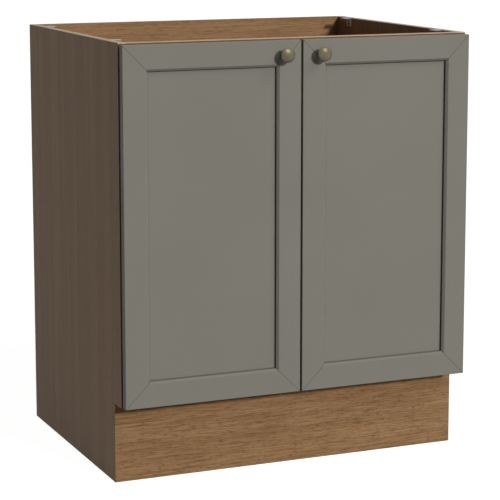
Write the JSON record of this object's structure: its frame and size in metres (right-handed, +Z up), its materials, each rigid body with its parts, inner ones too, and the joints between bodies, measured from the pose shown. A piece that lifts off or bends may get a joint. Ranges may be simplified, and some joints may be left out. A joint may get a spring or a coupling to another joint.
{
  "type": "kitchen base cabinet",
  "caption": "Floor-standing kitchen base cabinet with hinged frame doors, round knobs, a shelf, a recessed plinth and an open top that takes a worktop.",
  "frame": {"origin": "on the floor, under the centre of the cabinet's box with its knobs", "axes": "+Z up, doors face -Y, +X towards the right door"},
  "size_m": [0.7, 0.587, 0.815],
  "materials": {
    "wood_print_board": "satin wood-print board with fine grain",
    "back_board": "thin brown hardboard",
    "door_paint": "satin grey-green paint on board",
    "aged_brass": "aged satin brass",
    "zinc_steel": "bright zinc plate",
    "dark_steel": "dark phosphate",
    "hinge_steel": "satin nickel plate",
    "brown_plastic": "moulded, matt",
    "soft_plastic": "soft, translucent white",
    "beech": "turned beech"
  },
  "bodies": {
    "carcass": {"left_side_panel": "wood_print_board", "right_side_panel": "wood_print_board", "bottom_panel": "wood_print_board", "front_top_rail": "wood_print_board", "rear_top_rail": "wood_print_board", "plinth_board": "wood_print_board", "shelf": "wood_print_board", "back_panel": "back_board", "back_nails": "zinc_steel", "plinth_corner_blocks": "brown_plastic", "plinth_block_screws": "zinc_steel", "shelf_pins": "zinc_steel", "worktop_angles": "zinc_steel", "angle_screws": "dark_steel", "cam_locks": "zinc_steel", "cam_bolts": "zinc_steel", "dowels": "beech", "hinge_plate_screws": "hinge_steel", "hinge_arm_screws": "hinge_steel", "hinge_arm_pins": "hinge_steel", "left_hinge_plates": "hinge_steel", "left_hinge_arms": "hinge_steel", "right_hinge_plates": "hinge_steel", "right_hinge_arms": "hinge_steel"},
    "left_outer_links": {"left_outer_links": "hinge_steel"},
    "left_inner_links": {"left_inner_links": "hinge_steel"},
    "left_door": {"left_door_hinge_stile": "door_paint", "left_door_meeting_stile": "door_paint", "left_door_top_rail": "door_paint", "left_door_bottom_rail": "door_paint", "left_door_panel": "door_paint", "left_hinge_cups": "hinge_steel", "left_cup_pins": "hinge_steel", "left_cup_screws": "hinge_steel", "left_door_knob": "aged_brass", "left_knob_screw": "zinc_steel", "left_door_buffers": "soft_plastic"},
    "right_outer_links": {"right_outer_links": "hinge_steel"},
    "right_inner_links": {"right_inner_links": "hinge_steel"},
    "right_door": {"right_door_hinge_stile": "door_paint", "right_door_meeting_stile": "door_paint", "right_door_top_rail": "door_paint", "right_door_bottom_rail": "door_paint", "right_door_panel": "door_paint", "right_hinge_cups": "hinge_steel", "right_cup_pins": "hinge_steel", "right_cup_screws": "hinge_steel", "right_door_knob": "aged_brass", "right_knob_screw": "zinc_steel", "right_door_buffers": "soft_plastic"}
  },
  "joints": [
    {"name": "left_hinge_turn", "type": "hinge", "parent": "carcass", "child": "left_outer_links", "pos_m": [-0.33845, -0.25895, 0.4815], "axis": [0, 0, -1], "range_deg": [0, 124.5]},
    {"name": "left_door_turn", "type": "hinge", "parent": "left_outer_links", "child": "left_door", "pos_m": [-0.33285, -0.2532, 0.4815], "axis": [0, 0, -1], "range_deg": [-24.6, 0]},
    {"name": "left_inner_link_turn", "type": "hinge", "parent": "carcass", "child": "left_inner_links", "pos_m": [-0.32855, -0.26, 0.4815], "axis": [0, 0, -1], "range_deg": [0, 14.9]},
    {"name": "right_hinge_turn", "type": "hinge", "parent": "carcass", "child": "right_outer_links", "pos_m": [0.33845, -0.25895, 0.4815], "axis": [0, 0, 1], "range_deg": [0, 124.5]},
    {"name": "right_door_turn", "type": "hinge", "parent": "right_outer_links", "child": "right_door", "pos_m": [0.33285, -0.2532, 0.4815], "axis": [0, 0, 1], "range_deg": [-24.6, 0]},
    {"name": "right_inner_link_turn", "type": "hinge", "parent": "carcass", "child": "right_inner_links", "pos_m": [0.32855, -0.26, 0.4815], "axis": [0, 0, 1], "range_deg": [0, 14.9]}
  ],
  "couplings": [
    {"joint": "left_door_turn", "follows": "left_hinge_turn", "ratio": -0.197},
    {"joint": "left_inner_link_turn", "follows": "left_hinge_turn", "ratio": 0.119},
    {"joint": "right_door_turn", "follows": "right_hinge_turn", "ratio": -0.197},
    {"joint": "right_inner_link_turn", "follows": "right_hinge_turn", "ratio": 0.119}
  ]
}
